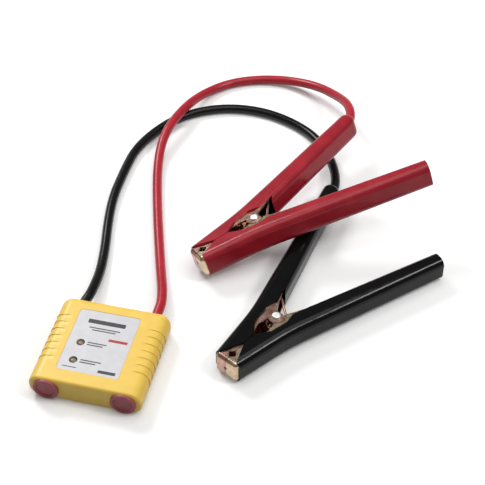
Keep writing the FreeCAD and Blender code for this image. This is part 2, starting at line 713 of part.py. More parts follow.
def round_sleeve(body, side, reach, closed):
    """Round the long edges and a closed end, and open a V-shaped mouth at the jaw."""
    window = value("window_back") - 1e-3
    shoulder = value(f"{handle_end(reach, '0', '0')[0][0]} - shoulder_round")

    def long_edge(p):
        """True on the top and bottom edges of the outside, the handle's inside and its closed end."""
        inner = value(f"{on_inside(f'{p.x:.6f}', '0')[1]} + sleeve_wall")
        inside = p.x > window and side * p.y < inner
        at_end = closed and p.x > shoulder
        on_face = near(abs(p.z), "sleeve_height / 2")
        return on_face and (outside(p, side, "0", "sleeve_wall") or inside or at_end)
    fillet(body, "edges", long_edge, "sleeve_round")
    mouth = [(PAST_FRONT, PAST_MIDDLE), (PAST_FRONT, "sleeve_mouth"),
             ("-(jaw_length - mouth_depth)", PAST_MIDDLE)]
    cut(body, polygon(new_sketch(body, "mouth"), sided(mouth, side)), "2 * sleeve_height")


def handle_middle(reach):
    """The centre of a square end across the handle."""
    return on_handle(reach, half_width(reach))


def across_handle(sketch, reach):
    """Turn a sketch on the YZ plane square to the lead arm's handle, centred on its axis."""
    x, y = handle_middle(reach)
    sketch.AttachmentOffset = Placement(Vector(), Rotation(Vector(0, 1, 0), value(HANDLE_AXIS)))
    bind(sketch, "AttachmentOffset.Rotation.Angle", HANDLE_AXIS)
    bind(sketch, "AttachmentOffset.Base.x", y)
    bind(sketch, "AttachmentOffset.Base.z", x)
    return sketch


def make_lead_sleeve(colour):
    """The sleeve whose closed end passes the lead."""
    body = clamp_body(colour, "lead_sleeve")
    reach = f"{colour}_sleeve_end"
    sleeve_blank(body, 1, reach, True)
    sleeve_hollow(body, 1, f"({reach} - sleeve_cap)")
    round_sleeve(body, 1, reach, True)
    hole = across_handle(new_sketch(body, "lead_hole", "YZ_Plane"), reach)
    cut(body, circle(hole, "0", "0", "lead_radius + lead_play"), "3 * sleeve_cap")


def make_free_sleeve(colour):
    body = clamp_body(colour, "free_sleeve")
    sleeve_blank(body, -1, "handle_reach", False)
    sleeve_hollow(body, -1, "(handle_reach + sleeve_wall)")
    round_sleeve(body, -1, "handle_reach", False)


def make_crimp(colour):
    """The barrel pressed on the lead's bare end, beside the web of the lead arm."""
    body = clamp_body(colour, "crimp")
    face = across_handle(new_sketch(body, "face", "YZ_Plane"), crimp_face(colour))
    pad(body, circle(face, "0", "0", "crimp_radius"), "crimp_length", back=True)


def crimp_face(colour):
    return f"({colour}_sleeve_end - sleeve_cap - crimp_depth * cos({HANDLE_AXIS}))"


# Torsion spring: one wire, from the free arm's web round the bush to the lead arm's web
def arc_from(start, tangent, end):
    """The arc that leaves start along tangent and reaches end."""
    chord = end - start
    turn = tangent.getAngle(chord)
    side = tangent - chord * (tangent.dot(chord) / chord.dot(chord))
    middle = start + chord * 0.5 + side.normalize() * (chord.Length / 2 * math.tan(turn / 2))
    return Part.Arc(start, middle, end).toShape()


def biarc(start, leaving, end, arriving):
    """Two arcs that join smoothly, between two points with given directions."""
    span = end - start
    both = leaving + arriving
    gap = 2 * (1 - leaving.dot(arriving))
    reach = (-span.dot(both) + math.sqrt(span.dot(both) ** 2 + gap * span.dot(span))) / gap
    first = start + leaving * reach
    last = end - arriving * reach
    joint = (first + last) * 0.5
    along = (last - first).normalize()
    return [arc_from(start, leaving, joint), arc_from(joint, along, end)]


def make_spring(colour):
    radius = value("spring_radius")
    wire = value("spring_wire")
    leg_x = value("spring_leg")
    leg_y = value(on_handle("spring_leg", f"{METAL} + steel + spring_wire + spring_clear")[1])
    far = math.hypot(leg_x, leg_y)
    bearing = math.atan2(leg_y, leg_x)
    touch = math.acos(radius / far)
    start_angle = touch - bearing
    end_angle = bearing - touch + 2 * math.pi * (value("spring_turns") + 1)
    rise = value("spring_pitch") / (2 * math.pi)
    half = rise * (end_angle - start_angle) / 2
    climb = math.hypot(radius, rise)

    def at(angle):
        height = -half + rise * (angle - start_angle)
        return Vector(radius * math.cos(angle), radius * math.sin(angle), height)

    def heading(angle):
        return Vector(-radius * math.sin(angle), radius * math.cos(angle), rise) * (1 / climb)

    leg = math.sqrt(far * far - radius * radius)
    steps = 4 * (value("spring_turns") + 1)
    angles = [start_angle + (end_angle - start_angle) * i / steps for i in range(int(steps) + 1)]
    foot = at(angles[0]) - heading(angles[0]) * leg
    tip = at(angles[-1]) + heading(angles[-1]) * leg
    edges = [Part.LineSegment(foot, at(angles[0])).toShape()]
    for one, two in zip(angles, angles[1:]):
        edges += biarc(at(one), heading(one), at(two), heading(two))
    edges.append(Part.LineSegment(at(angles[-1]), tip).toShape())
    path = Part.Wire(edges)
    ring = Part.Wire([Part.Circle(foot, heading(angles[0]), wire).toShape()])
    shape = path.makePipeShell([ring], True, False)
    points = path.discretize(Distance=wire / 2)
    quarter_turn = int(math.pi * radius / wire)
    gap = min((a - b).Length for i, a in enumerate(points) for b in points[i + quarter_turn:]) - 2 * wire
    print(f"{colour}_spring: least gap to itself {gap:.2f} mm, volume over section times length "
          f"{shape.Volume / (math.pi * wire * wire * path.Length):.4f}")
    spring = doc.addObject("Part::Feature", f"{colour}_spring")
    spring.Label = f"{colour}_spring"
    spring.Shape = shape
    spring.Placement = clamp_place(colour)
    parts.append(spring)


# Leads
def cord_wire(points):
    """Straight runs joined by the largest arcs that fit, with the radii of the arcs."""
    points = [Vector(*p) for p in points]
    edges = []
    radii = []
    here = points[0]
    for before, corner, after in zip(points, points[1:], points[2:]):
        back = before - corner
        on = after - corner
        turn = math.pi - back.getAngle(on)
        reach = 0.45 * min(back.Length, on.Length)
        radius = reach / math.tan(turn / 2)
        start = corner + back.normalize() * reach
        end = corner + on.normalize() * reach
        to_centre = (back + on).normalize()
        centre = corner + to_centre * (radius / math.cos(turn / 2))
        middle = centre - to_centre * radius
        edges.append(Part.LineSegment(here, start).toShape())
        edges.append(Part.Arc(start, middle, end).toShape())
        radii.append(radius)
        here = end
    edges.append(Part.LineSegment(here, points[-1]).toShape())
    return Part.Wire(edges), radii


def make_lead(colour, side, route):
    """A lead from its terminal in the case, out along the floor and up into its clamp."""
    middle = value("case_height / 2")
    inner = Vector(side * value("lead_column"), value(LEAD_END), middle)
    place = clamp_place(colour)
    x, y = (value(number) for number in handle_middle(crimp_face(colour)))
    crimp = place.multVec(Vector(x, y, 0))
    angle = math.radians(value(HANDLE_AXIS))
    axis = place.Rotation.multVec(Vector(math.cos(angle), math.sin(angle), 0))
    mouth = crimp + axis * value("lead_out")
    outside = Vector(inner.x, value("case_length / 2 + lead_straight"), middle)
    wire, radii = cord_wire([inner, outside] + route + [mouth, crimp + axis * value("lead_play")])
    radius = value("lead_radius")
    ring = Part.Wire([Part.Circle(inner, Vector(0, 1, 0), radius).toShape()])
    shape = wire.makePipeShell([ring], True, False)
    share = shape.Volume / (math.pi * radius * radius * wire.Length)
    print(f"{colour}_lead: length {wire.Length:.1f} mm, radii {[round(r) for r in radii]}, volume over"
          f" section times length {share:.4f}")
    ends = [tuple(round(c, 1) for c in point) for point in (mouth, crimp)]
    print(f"{colour}_lead ends: mouth {ends[0]}, crimp {ends[1]}")
    lead = doc.addObject("Part::Feature", f"{colour}_lead")
    lead.Label = f"{colour}_lead"
    lead.Shape = shape
    lead.Placement = Placement()
    parts.append(lead)


def make_clamp(colour):
    make_lead_arm(colour)
    make_free_arm(colour)
    make_rivet(colour)
    make_bush(colour)
    make_spring(colour)
    make_lead_sleeve(colour)
    make_free_sleeve(colour)
    make_crimp(colour)


def check_and_write():
    doc.recompute()
    faults = [thing.Name for thing in doc.Objects if "Invalid" in thing.State or "Error" in thing.State]
    faults += [part.Label for part in parts if part.Shape.isNull() or not part.Shape.isValid()]
    if faults:
        raise RuntimeError("failed objects: " + ", ".join(faults))
    os.makedirs("parts", exist_ok=True)
    for part in parts:
        part.Shape.exportStep(f"parts/{part.Label}.step")
        print(f"{part.Label}: {len(part.Shape.Solids)} solids, {part.Shape.Volume:.1f} mm3")


make_case_bottom()
make_case_top()
make_label()
make_led("upper_led", "led_upper")
make_led("lower_led", "led_lower")
make_board()
make_board_parts()
make_screws()
for plug_label, plug_side in (("left_end_plug", -1), ("right_end_plug", 1)):
    make_end_plug(plug_label, plug_side)
for lead_colour, lead_side, lead_route in (("red", 1, RED_ROUTE), ("black", -1, BLACK_ROUTE)):
    make_lead_fittings(lead_colour, lead_side)
    make_clamp(lead_colour)
    make_lead(lead_colour, lead_side, lead_route)
check_and_write()
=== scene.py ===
"""Battery tester with two clamp leads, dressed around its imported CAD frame."""

from __future__ import annotations

import json
import logging
import math
from dataclasses import dataclass
from enum import Enum

import bmesh
import bpy
from mathutils import Euler, Matrix, Vector

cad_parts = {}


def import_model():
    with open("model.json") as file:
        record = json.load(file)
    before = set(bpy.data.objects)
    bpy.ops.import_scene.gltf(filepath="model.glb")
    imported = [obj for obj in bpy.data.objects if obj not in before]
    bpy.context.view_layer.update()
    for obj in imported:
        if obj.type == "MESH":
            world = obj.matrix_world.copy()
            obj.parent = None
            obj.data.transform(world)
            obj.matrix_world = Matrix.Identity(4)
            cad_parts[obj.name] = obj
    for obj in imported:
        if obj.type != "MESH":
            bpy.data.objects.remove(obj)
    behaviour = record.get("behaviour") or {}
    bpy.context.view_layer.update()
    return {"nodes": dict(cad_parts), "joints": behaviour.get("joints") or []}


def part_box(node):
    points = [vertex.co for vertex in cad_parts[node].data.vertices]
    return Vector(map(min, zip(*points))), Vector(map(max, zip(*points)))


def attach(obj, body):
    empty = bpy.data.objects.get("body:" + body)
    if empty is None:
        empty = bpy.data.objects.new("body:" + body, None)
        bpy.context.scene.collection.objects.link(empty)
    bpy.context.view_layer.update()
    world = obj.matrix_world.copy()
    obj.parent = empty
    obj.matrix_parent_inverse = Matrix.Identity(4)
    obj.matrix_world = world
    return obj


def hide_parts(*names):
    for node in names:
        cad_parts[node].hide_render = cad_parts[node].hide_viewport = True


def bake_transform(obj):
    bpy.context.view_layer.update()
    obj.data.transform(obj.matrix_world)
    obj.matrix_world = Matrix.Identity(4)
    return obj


LOG = logging.getLogger("battery_tester")
MM = 0.001
IMAGE_PIXELS = 485
ROOT_BODY = "tester"
Point = tuple[float, float, float]


class LeadColour(Enum):
    """The two leads and clamps, by colour."""

    RED = "red"
    BLACK = "black"


class Ink(Enum):
    """The two inks on the label."""

    DARK = "dark"
    RED = "red"


# Finishes


def srgb(code: str) -> tuple[float, float, float, float]:
    """Turn a hex colour into the linear colour that a shader takes.

    Args:
        code: A colour such as "#F0C94F".

    Returns:
        Linear red, green, blue and an alpha of 1.
    """
    channels = [int(code[i : i + 2], 16) / 255 for i in (1, 3, 5)]
    linear = [c / 12.92 if c <= 0.04045 else ((c + 0.055) / 1.055) ** 2.4 for c in channels]
    return (linear[0], linear[1], linear[2], 1.0)


def per_mm(size: float) -> float:
    """Texture scale, in cycles per metre, of a pattern whose features are size millimetres wide."""
    return 1.0 / (size * MM)


def add_node(
    tree: bpy.types.NodeTree,
    kind: str,
    settings: dict[str | int, object] | None = None,
    links: dict[str | int, bpy.types.NodeSocket] | None = None,
) -> bpy.types.Node:
    """Add a node with its settings and links.

    Args:
        tree: The node tree that takes the node.
        kind: The node's type name.
        settings: Values by property name, or by input name or number.
        links: Output sockets by the input name or number that they feed.

    Returns:
        The new node.
    """
    node = tree.nodes.new(kind)
    for key, value in (settings or {}).items():
        if isinstance(key, str) and hasattr(node, key):
            setattr(node, key, value)
        else:
            node.inputs[key].default_value = value
    for key, source in (links or {}).items():
        tree.links.new(source, node.inputs[key])
    return node


def start_material(name: str) -> tuple[bpy.types.Material, bpy.types.NodeTree, bpy.types.Node]:
    """Make an empty material with a Principled shader wired to its output.

    Args:
        name: The material's name.

    Returns:
        The material, its tree and its shader node.
    """
    material = bpy.data.materials.new(name)
    material.use_nodes = True
    tree = material.node_tree
    tree.nodes.clear()
    shader = add_node(tree, "ShaderNodeBsdfPrincipled")
    add_node(tree, "ShaderNodeOutputMaterial", links={"Surface": shader.outputs["BSDF"]})
    return material, tree, shader


@dataclass(frozen=True)
class Finish:
    """What a surface is made of and how it was made, as a procedural material.

    A patch pattern shifts the colour between two shades and the roughness between two values,
    and a grain pattern raises a fine bump.
    """

    name: str
    colour: str
    shade: str
    roughness: tuple[float, float]
    patch_mm: float
    grain_mm: float
    grain_height_mm: float
    ior: float = 1.5
    metal: bool = False
    patch_detail: float = 4.0
    patch_roughness: float = 0.55
    patch_ends: tuple[float, float] = (0.3, 0.7)
    grain_detail: float = 2.0

    def material(self) -> bpy.types.Material:
        """Build the material once and give it again when asked again."""
        known = bpy.data.materials.get(self.name)
        return known if known else self.build()

    def build(self) -> bpy.types.Material:
        """Build the node tree of this finish.

        Returns:
            The new material.
        """
        material, tree, shader = start_material(self.name)
        place = add_node(tree, "ShaderNodeTexCoord").outputs["Object"]
        patches = add_node(
            tree,
            "ShaderNodeTexNoise",
            {"Scale": per_mm(self.patch_mm), "Detail": self.patch_detail, "Roughness": self.patch_roughness},
            {"Vector": place},
        )
        colours = add_node(tree, "ShaderNodeValToRGB", links={"Fac": patches.outputs["Fac"]})
        stops = colours.color_ramp.elements
        for stop, position, code in zip(stops, self.patch_ends, (self.shade, self.colour)):
            stop.position = position
            stop.color = srgb(code)
        gloss = add_node(
            tree,
            "ShaderNodeMapRange",
            {"To Min": self.roughness[0], "To Max": self.roughness[1]},
            {"Value": patches.outputs["Fac"]},
        )
        grain = add_node(
            tree,
            "ShaderNodeTexNoise",
            {"Scale": per_mm(self.grain_mm), "Detail": self.grain_detail},
            {"Vector": place},
        )
        bump = add_node(
            tree,
            "ShaderNodeBump",
            {"Strength": 1.0, "Distance": self.grain_height_mm * MM},
            {"Height": grain.outputs["Fac"]},
        )
        tree.links.new(colours.outputs["Color"], shader.inputs["Base Color"])
        tree.links.new(gloss.outputs["Result"], shader.inputs["Roughness"])
        tree.links.new(bump.outputs["Normal"], shader.inputs["Normal"])
        if self.metal:
            shader.inputs["Metallic"].default_value = 1.0
        else:
            shader.inputs["IOR"].default_value = self.ior
        return material


@dataclass(frozen=True)
class LensFinish:
    """Smoky clear epoxy of an unlit lamp: a pale die cup in the middle of a grey-brown lens.

    The centre is in metres, in the frame. The cup's colour fades into the lens's over the last
    part of the cup's radius, from cup_fade of it. Further out the lens darkens towards its edge
    into painted shade, where the hole's wall shades it.
    """

    name: str
    centre: tuple[float, float]
    cup_mm: float = 1.3
    cup_fade: float = 0.7
    edge_mm: float = 2.5
    colour: str = "#726B64"
    cup: str = "#81786E"
    # The lens's edge colour: painted shade where the hole's wall shades the lens
    rim_shade: str = "#665F59"
    roughness: float = 0.34
    ior: float = 1.54

    def material(self) -> bpy.types.Material:
        """Build rings about the lamp's axis.

        Returns:
            The new material.
        """
        material, tree, shader = start_material(self.name)
        place = add_node(tree, "ShaderNodeTexCoord").outputs["Object"]
        shift = (-self.centre[0], -self.centre[1], 0.0)
        centred = add_node(tree, "ShaderNodeMapping", {"Location": shift}, {"Vector": place})
        flat = add_node(
            tree,
            "ShaderNodeVectorMath",
            {"operation": "MULTIPLY", 1: (1.0, 1.0, 0.0)},
            {0: centred.outputs["Vector"]},
        )
        radius = add_node(
            tree, "ShaderNodeVectorMath", {"operation": "LENGTH"}, {0: flat.outputs["Vector"]}
        )
        ratio = add_node(
            tree, "ShaderNodeMapRange", {"From Max": self.edge_mm * MM}, {"Value": radius.outputs["Value"]}
        )
        rings = add_node(tree, "ShaderNodeValToRGB", links={"Fac": ratio.outputs["Result"]})
        stops = rings.color_ramp.elements
        stops[0].color = srgb(self.cup)
        # the lens darkens to painted shade at its edge
        stops[1].color = srgb(self.rim_shade)
        cup_edge = self.cup_mm / self.edge_mm
        stops.new(cup_edge * self.cup_fade).color = srgb(self.cup)
        stops.new(cup_edge).color = srgb(self.colour)
        tree.links.new(rings.outputs["Color"], shader.inputs["Base Color"])
        shader.inputs["Roughness"].default_value = self.roughness
        shader.inputs["IOR"].default_value = self.ior
        return material


# ABS, moulded: even yellow under a fine spark-eroded grain that spreads the light.
# The grain is drawn coarser than the real one, so that it shows.
CASE_PLASTIC = Finish(
    "moulded_abs_yellow", "#F0CA58", "#EAC24E", roughness=(0.36, 0.46),
    patch_mm=9.0, grain_mm=0.5, grain_height_mm=0.02, ior=1.53,
)
# Plasticised PVC, dipped: glossy skin with slow ripples, and deeper colour where it is thick.
# The IOR is under PVC's own 1.53, as is the insulation's, to keep the floor's reflection faint.
RED_VINYL = Finish(
    "dipped_vinyl_red", "#A6232F", "#941B27", roughness=(0.2, 0.28),
    patch_mm=14.0, grain_mm=9.0, grain_height_mm=0.12, ior=1.36,
)
BLACK_VINYL = Finish(
    "dipped_vinyl_black", "#0D0D0E", "#09090A", roughness=(0.12, 0.18),
    patch_mm=14.0, grain_mm=9.0, grain_height_mm=0.12, ior=1.28,
)
# PVC insulation, extruded: smooth and a little duller than the sleeves
RED_INSULATION = Finish(
    "extruded_pvc_red", "#B62836", "#A4212D", roughness=(0.26, 0.34),
    patch_mm=8.0, grain_mm=3.0, grain_height_mm=0.02, ior=1.38,
)
BLACK_INSULATION = Finish(
    "extruded_pvc_black", "#111112", "#0C0C0E", roughness=(0.22, 0.3),
    patch_mm=8.0, grain_mm=3.0, grain_height_mm=0.02, ior=1.33,
)
# Copper flash on pressed steel, worn thin and wavy from the press: pale beige. The lead arm
# wears a darker, pinker copy of it, which is painted shade.
PALE_COPPER = Finish(
    "worn_copper_flash", "#DCCBAE", "#B89A80", roughness=(0.14, 0.28),
    patch_mm=4.0, grain_mm=2.6, grain_height_mm=0.09, metal=True,
)
# The lead arm's copper: the same flash darker and pinker, as painted shade
SHADED_COPPER = Finish(
    "shaded_copper_flash", "#CDA997", "#A27A6C", roughness=(0.18, 0.32),
    patch_mm=4.0, grain_mm=2.6, grain_height_mm=0.09, metal=True,
)
# Zinc plate on turned steel: bright, cool and slightly frosted
ZINC_PLATE = Finish(
    "zinc_plated_steel", "#F2F2EF", "#DEDEDA", roughness=(0.42, 0.5),
    patch_mm=2.5, grain_mm=0.6, grain_height_mm=0.008, metal=True,
)
# Spring steel wire, drawn and copper flashed like the arms: a warm satin metal
SPRING_WIRE = Finish(
    "drawn_spring_wire", "#C9A78F", "#9A7564", roughness=(0.25, 0.36),
    patch_mm=2.0, grain_mm=0.5, grain_height_mm=0.01, metal=True,
)
# Brass, turned: yellow metal with a soft shine
BRASS_STOCK = Finish(
    "turned_brass", "#D9B25C", "#BD9443", roughness=(0.2, 0.32),
    patch_mm=4.0, grain_mm=0.6, grain_height_mm=0.01, metal=True,
)
# Polyester film, silver ground: pale cool grey with a satin skin
LABEL_FILM = Finish(
    "silver_label_film", "#D2D1D4", "#C9C8CC", roughness=(0.36, 0.46),
    patch_mm=6.0, grain_mm=0.4, grain_height_mm=0.004, ior=1.57,
)
# Screen ink on film: flat, with a slightly uneven cover
DARK_INK = Finish(
    "dark_screen_ink", "#3D3B42", "#33313A", roughness=(0.45, 0.6),
    patch_mm=3.0, grain_mm=0.3, grain_height_mm=0.003,
)
RED_INK = Finish(
    "red_screen_ink", "#B5303A", "#A82A34", roughness=(0.45, 0.6),
    patch_mm=3.0, grain_mm=0.3, grain_height_mm=0.003,
)
# Rubber, moulded: dull, with a faint bloom
PLUG_RUBBER = Finish(
    "moulded_rubber_red", "#A44C54", "#96424A", roughness=(0.42, 0.54),
    patch_mm=4.0, grain_mm=0.5, grain_height_mm=0.02, ior=1.52,
)
GROMMET_RUBBER = Finish(
    "moulded_rubber_black", "#1B1B1C", "#141415", roughness=(0.55, 0.7),
    patch_mm=4.0, grain_mm=0.5, grain_height_mm=0.02, ior=1.52,
)
# Epoxy glass board under solder mask: deep green and half glossy
BOARD_MASK = Finish(
    "board_solder_mask", "#1F5C33", "#184D2A", roughness=(0.35, 0.5),
    patch_mm=5.0, grain_mm=0.8, grain_height_mm=0.01,
)
# Epoxy, moulded round a chip: near black and dull
DIODE_EPOXY = Finish(
    "moulded_epoxy_black", "#1D1D1E", "#151516", roughness=(0.45, 0.6),
    patch_mm=3.0, grain_mm=0.4, grain_height_mm=0.01,
)
# Epoxy, dipped: blue with a soft shine
VARISTOR_EPOXY = Finish(
    "dipped_epoxy_blue", "#24509A", "#1D4384", roughness=(0.3, 0.45),
    patch_mm=4.0, grain_mm=0.8, grain_height_mm=0.02,
)
# Lacquer over a ceramic rod: tan and half glossy
RESISTOR_LACQUER = Finish(
    "resistor_lacquer_tan", "#C9A878", "#B89765", roughness=(0.35, 0.5),
    patch_mm=2.0, grain_mm=0.4, grain_height_mm=0.01,
)

VINYL = {LeadColour.RED: RED_VINYL, LeadColour.BLACK: BLACK_VINYL}
INSULATION = {LeadColour.RED: RED_INSULATION, LeadColour.BLACK: BLACK_INSULATION}
PRINT = {Ink.DARK: DARK_INK, Ink.RED: RED_INK}


# Mesh helpers


def dress(obj: bpy.types.Object, material: bpy.types.Material) -> None:
    """Give an object one material all over.

    Args:
        obj: A CAD node or a piece of this script.
        material: The material.
    """
    obj.data.materials.clear()
    obj.data.materials.append(material)
    LOG.info("dressed %s in %s", obj.name, material.name)


def new_object(name: str, data: bpy.types.ID) -> bpy.types.Object:
    """Link a new object with the given data to the scene.

    Args:
        name: The object's name.
        data: Its mesh, curve, lamp or camera data.

    Returns:
        The object, at the origin.
    """
    obj = bpy.data.objects.new(name, data)
    bpy.context.scene.collection.objects.link(obj)
    return obj


def plain_mesh(obj: bpy.types.Object, name: str) -> bpy.types.Object:
    """Turn an object's evaluated form into a new plain mesh object and delete the old one.

    Args:
        obj: The object with its live modifiers.
        name: The new object's name.

    Returns:
        The plain mesh object.
    """
    bpy.context.view_layer.update()
    evaluated = obj.evaluated_get(bpy.context.evaluated_depsgraph_get())
    mesh = bpy.data.meshes.new_from_object(evaluated)
    mesh.name = name
    bpy.data.objects.remove(obj)
    return new_object(name, mesh)


def new_node_group(name: str, inputs: list[tuple[str, str]]) -> bpy.types.NodeTree:
    """Start a geometry node tree with named inputs and one geometry output.

    Args:
        name: The tree's name.
        inputs: Pairs of input name and socket type.

    Returns:
        The tree.
    """
    tree = bpy.data.node_groups.new(name, "GeometryNodeTree")
    for label, kind in inputs:
        tree.interface.new_socket(label, in_out="INPUT", socket_type=kind)
    tree.interface.new_socket("Geometry", in_out="OUTPUT", socket_type="NodeSocketGeometry")
    return tree


def run_tree(
    obj: bpy.types.Object, tree: bpy.types.NodeTree, values: dict[str, object], name: str
) -> bpy.types.Object:
    """Run a geometry node tree on an object and keep the result as a plain mesh.

    Args:
        obj: The object that carries the tree's geometry input.
        tree: The tree.
        values: Input values by input name.
        name: The new object's name.

    Returns:
        The plain mesh object.
    """
    modifier = obj.modifiers.new(tree.name, "NODES")
    modifier.node_group = tree
    for item in tree.interface.items_tree:
        if item.in_out == "INPUT" and item.name in values:
            modifier[item.identifier] = values[item.name]
    return plain_mesh(obj, name)


# Studio


@dataclass(frozen=True)
class Softbox:
    """A square soft lamp, in metres and watts."""

    name: str
    place: Point
    aim: Point
    size: float
    watts: float

    def hang(self) -> None:
        """Hang the lamp and turn it to what it lights."""
        light = bpy.data.lights.new(self.name, "AREA")
        light.size = self.size
        light.energy = self.watts
        lamp = new_object(self.name, light)
        lamp.location = self.place
        beam = Vector(self.aim) - Vector(self.place)
        lamp.rotation_euler = beam.to_track_quat("-Z", "Y").to_euler()


SOFTBOXES = (
    Softbox("overhead_softbox", place=(0.15, 0.2, 1.25), aim=(0.08, 0.12, 0.0), size=1.0, watts=7.0),
    Softbox("back_left_softbox", place=(-0.75, 0.75, 0.95), aim=(0.0, 0.03, 0.0), size=0.45, watts=10.0),
    Softbox("right_softbox", place=(0.95, 0.16, 1.1), aim=(0.1, 0.1, 0.0), size=0.3, watts=5.5),
)

# A colour Mix node's sockets, by number, because several share a name
MIX_FACTOR = 0
MIX_FIRST = 6
MIX_SECOND = 7
MIX_RESULT = 2


@dataclass
class Studio:
    """Pale floor, soft lamps above, behind and to the right, and the photograph's camera."""

    azimuth: float = 13.55
    elevation: float = 45.17
    distance: float = 0.8
    near_clip: float = 0.01
    mm_per_pixel: float = 0.62
    target_pixel: tuple[float, float] = (103.27, 361.23)
    sensor_mm: float = 36.0
    floor_size: float = 8.0
    floor_colour: str = "#FBFBFA"
    floor_roughness: float = 0.9
    floor_gloss: float = 0.1
    floor_lift: float = 0.1
    bounce_colour: str = "#B4B4B3"
    world_colour: str = "#F4F5F7"
    world_level: float = 0.25

    def build(self) -> None:
        """Make the floor, the world, the lamps and the camera."""
        self.make_floor()
        self.make_world()
        for softbox in SOFTBOXES:
            softbox.hang()
        self.make_camera()
        bpy.context.scene.view_settings.view_transform = "Standard"

    def make_floor(self) -> None:
        """Lay a large pale floor under the object, as white paper that throws little light back up."""
        half = self.floor_size / 2
        corners = [(-half, -half, 0.0), (half, -half, 0.0), (half, half, 0.0), (-half, half, 0.0)]
        mesh = bpy.data.meshes.new("studio_floor")
        mesh.from_pydata(corners, [], [(0, 1, 2, 3)])
        floor = new_object("studio_floor", mesh)
        material, tree, shader = start_material("studio_paper")
        path = add_node(tree, "ShaderNodeLightPath")
        direct = add_node(
            tree,
            "ShaderNodeMath",
            {"operation": "ADD"},
            {0: path.outputs["Is Camera Ray"], 1: path.outputs["Is Glossy Ray"]},
        )
        seen = add_node(
            tree,
            "ShaderNodeMath",
            {"operation": "ADD", "use_clamp": True},
            {0: direct.outputs["Value"], 1: path.outputs["Is Transmission Ray"]},
        )
        paper = add_node(
            tree,
            "ShaderNodeMix",
            {"data_type": "RGBA", MIX_FIRST: srgb(self.bounce_colour), MIX_SECOND: srgb(self.floor_colour)},
            {MIX_FACTOR: seen.outputs["Value"]},
        )
        lift = add_node(
            tree,
            "ShaderNodeMath",
            {"operation": "MULTIPLY", 1: self.floor_lift},
            {0: seen.outputs["Value"]},
        )
        tree.links.new(paper.outputs[MIX_RESULT], shader.inputs["Base Color"])
        tree.links.new(lift.outputs["Value"], shader.inputs["Emission Strength"])
        shader.inputs["Emission Color"].default_value = srgb(self.floor_colour)
        shader.inputs["Roughness"].default_value = self.floor_roughness
        shader.inputs["Specular IOR Level"].default_value = self.floor_gloss
        dress(floor, material)

    def make_world(self) -> None:
        """Light the scene evenly from all round."""
        world = bpy.data.worlds.new("studio_world")
        world.use_nodes = True
        back = world.node_tree.nodes["Background"]
        back.inputs["Color"].default_value = srgb(self.world_colour)
        back.inputs["Strength"].default_value = self.world_level
        bpy.context.scene.world = world

    def make_camera(self) -> None:
        """Place the camera so that the frame's origin falls on its pixel of the photograph."""
        turn = math.radians(self.azimuth)
        tilt = math.radians(self.elevation)
        level = math.cos(tilt)
        back = Vector((math.sin(turn) * level, -math.cos(turn) * level, math.sin(tilt)))
        right = Vector((math.cos(turn), math.sin(turn), 0.0))
        up = back.cross(right)
        pixel = self.mm_per_pixel * MM
        across = (self.target_pixel[0] - IMAGE_PIXELS / 2) * pixel
        above = -(self.target_pixel[1] - IMAGE_PIXELS / 2) * pixel
        data = bpy.data.cameras.new("photo_camera")
        data.sensor_width = self.sensor_mm
        data.lens = self.distance / pixel * self.sensor_mm / IMAGE_PIXELS
        data.clip_start = self.near_clip
        camera = new_object("photo_camera", data)
        camera.location = back * self.distance - right * across - up * above
        camera.rotation_euler = (-back).to_track_quat("-Z", "Y").to_euler()
        bpy.context.scene.camera = camera


# Case


@dataclass(frozen=True)
class PrintBar:
    """One printed mark on the label: its middle, from the label's, and its size, in millimetres."""

    x: float
    y: float
    width: float
    height: float
    ink: Ink = Ink.DARK


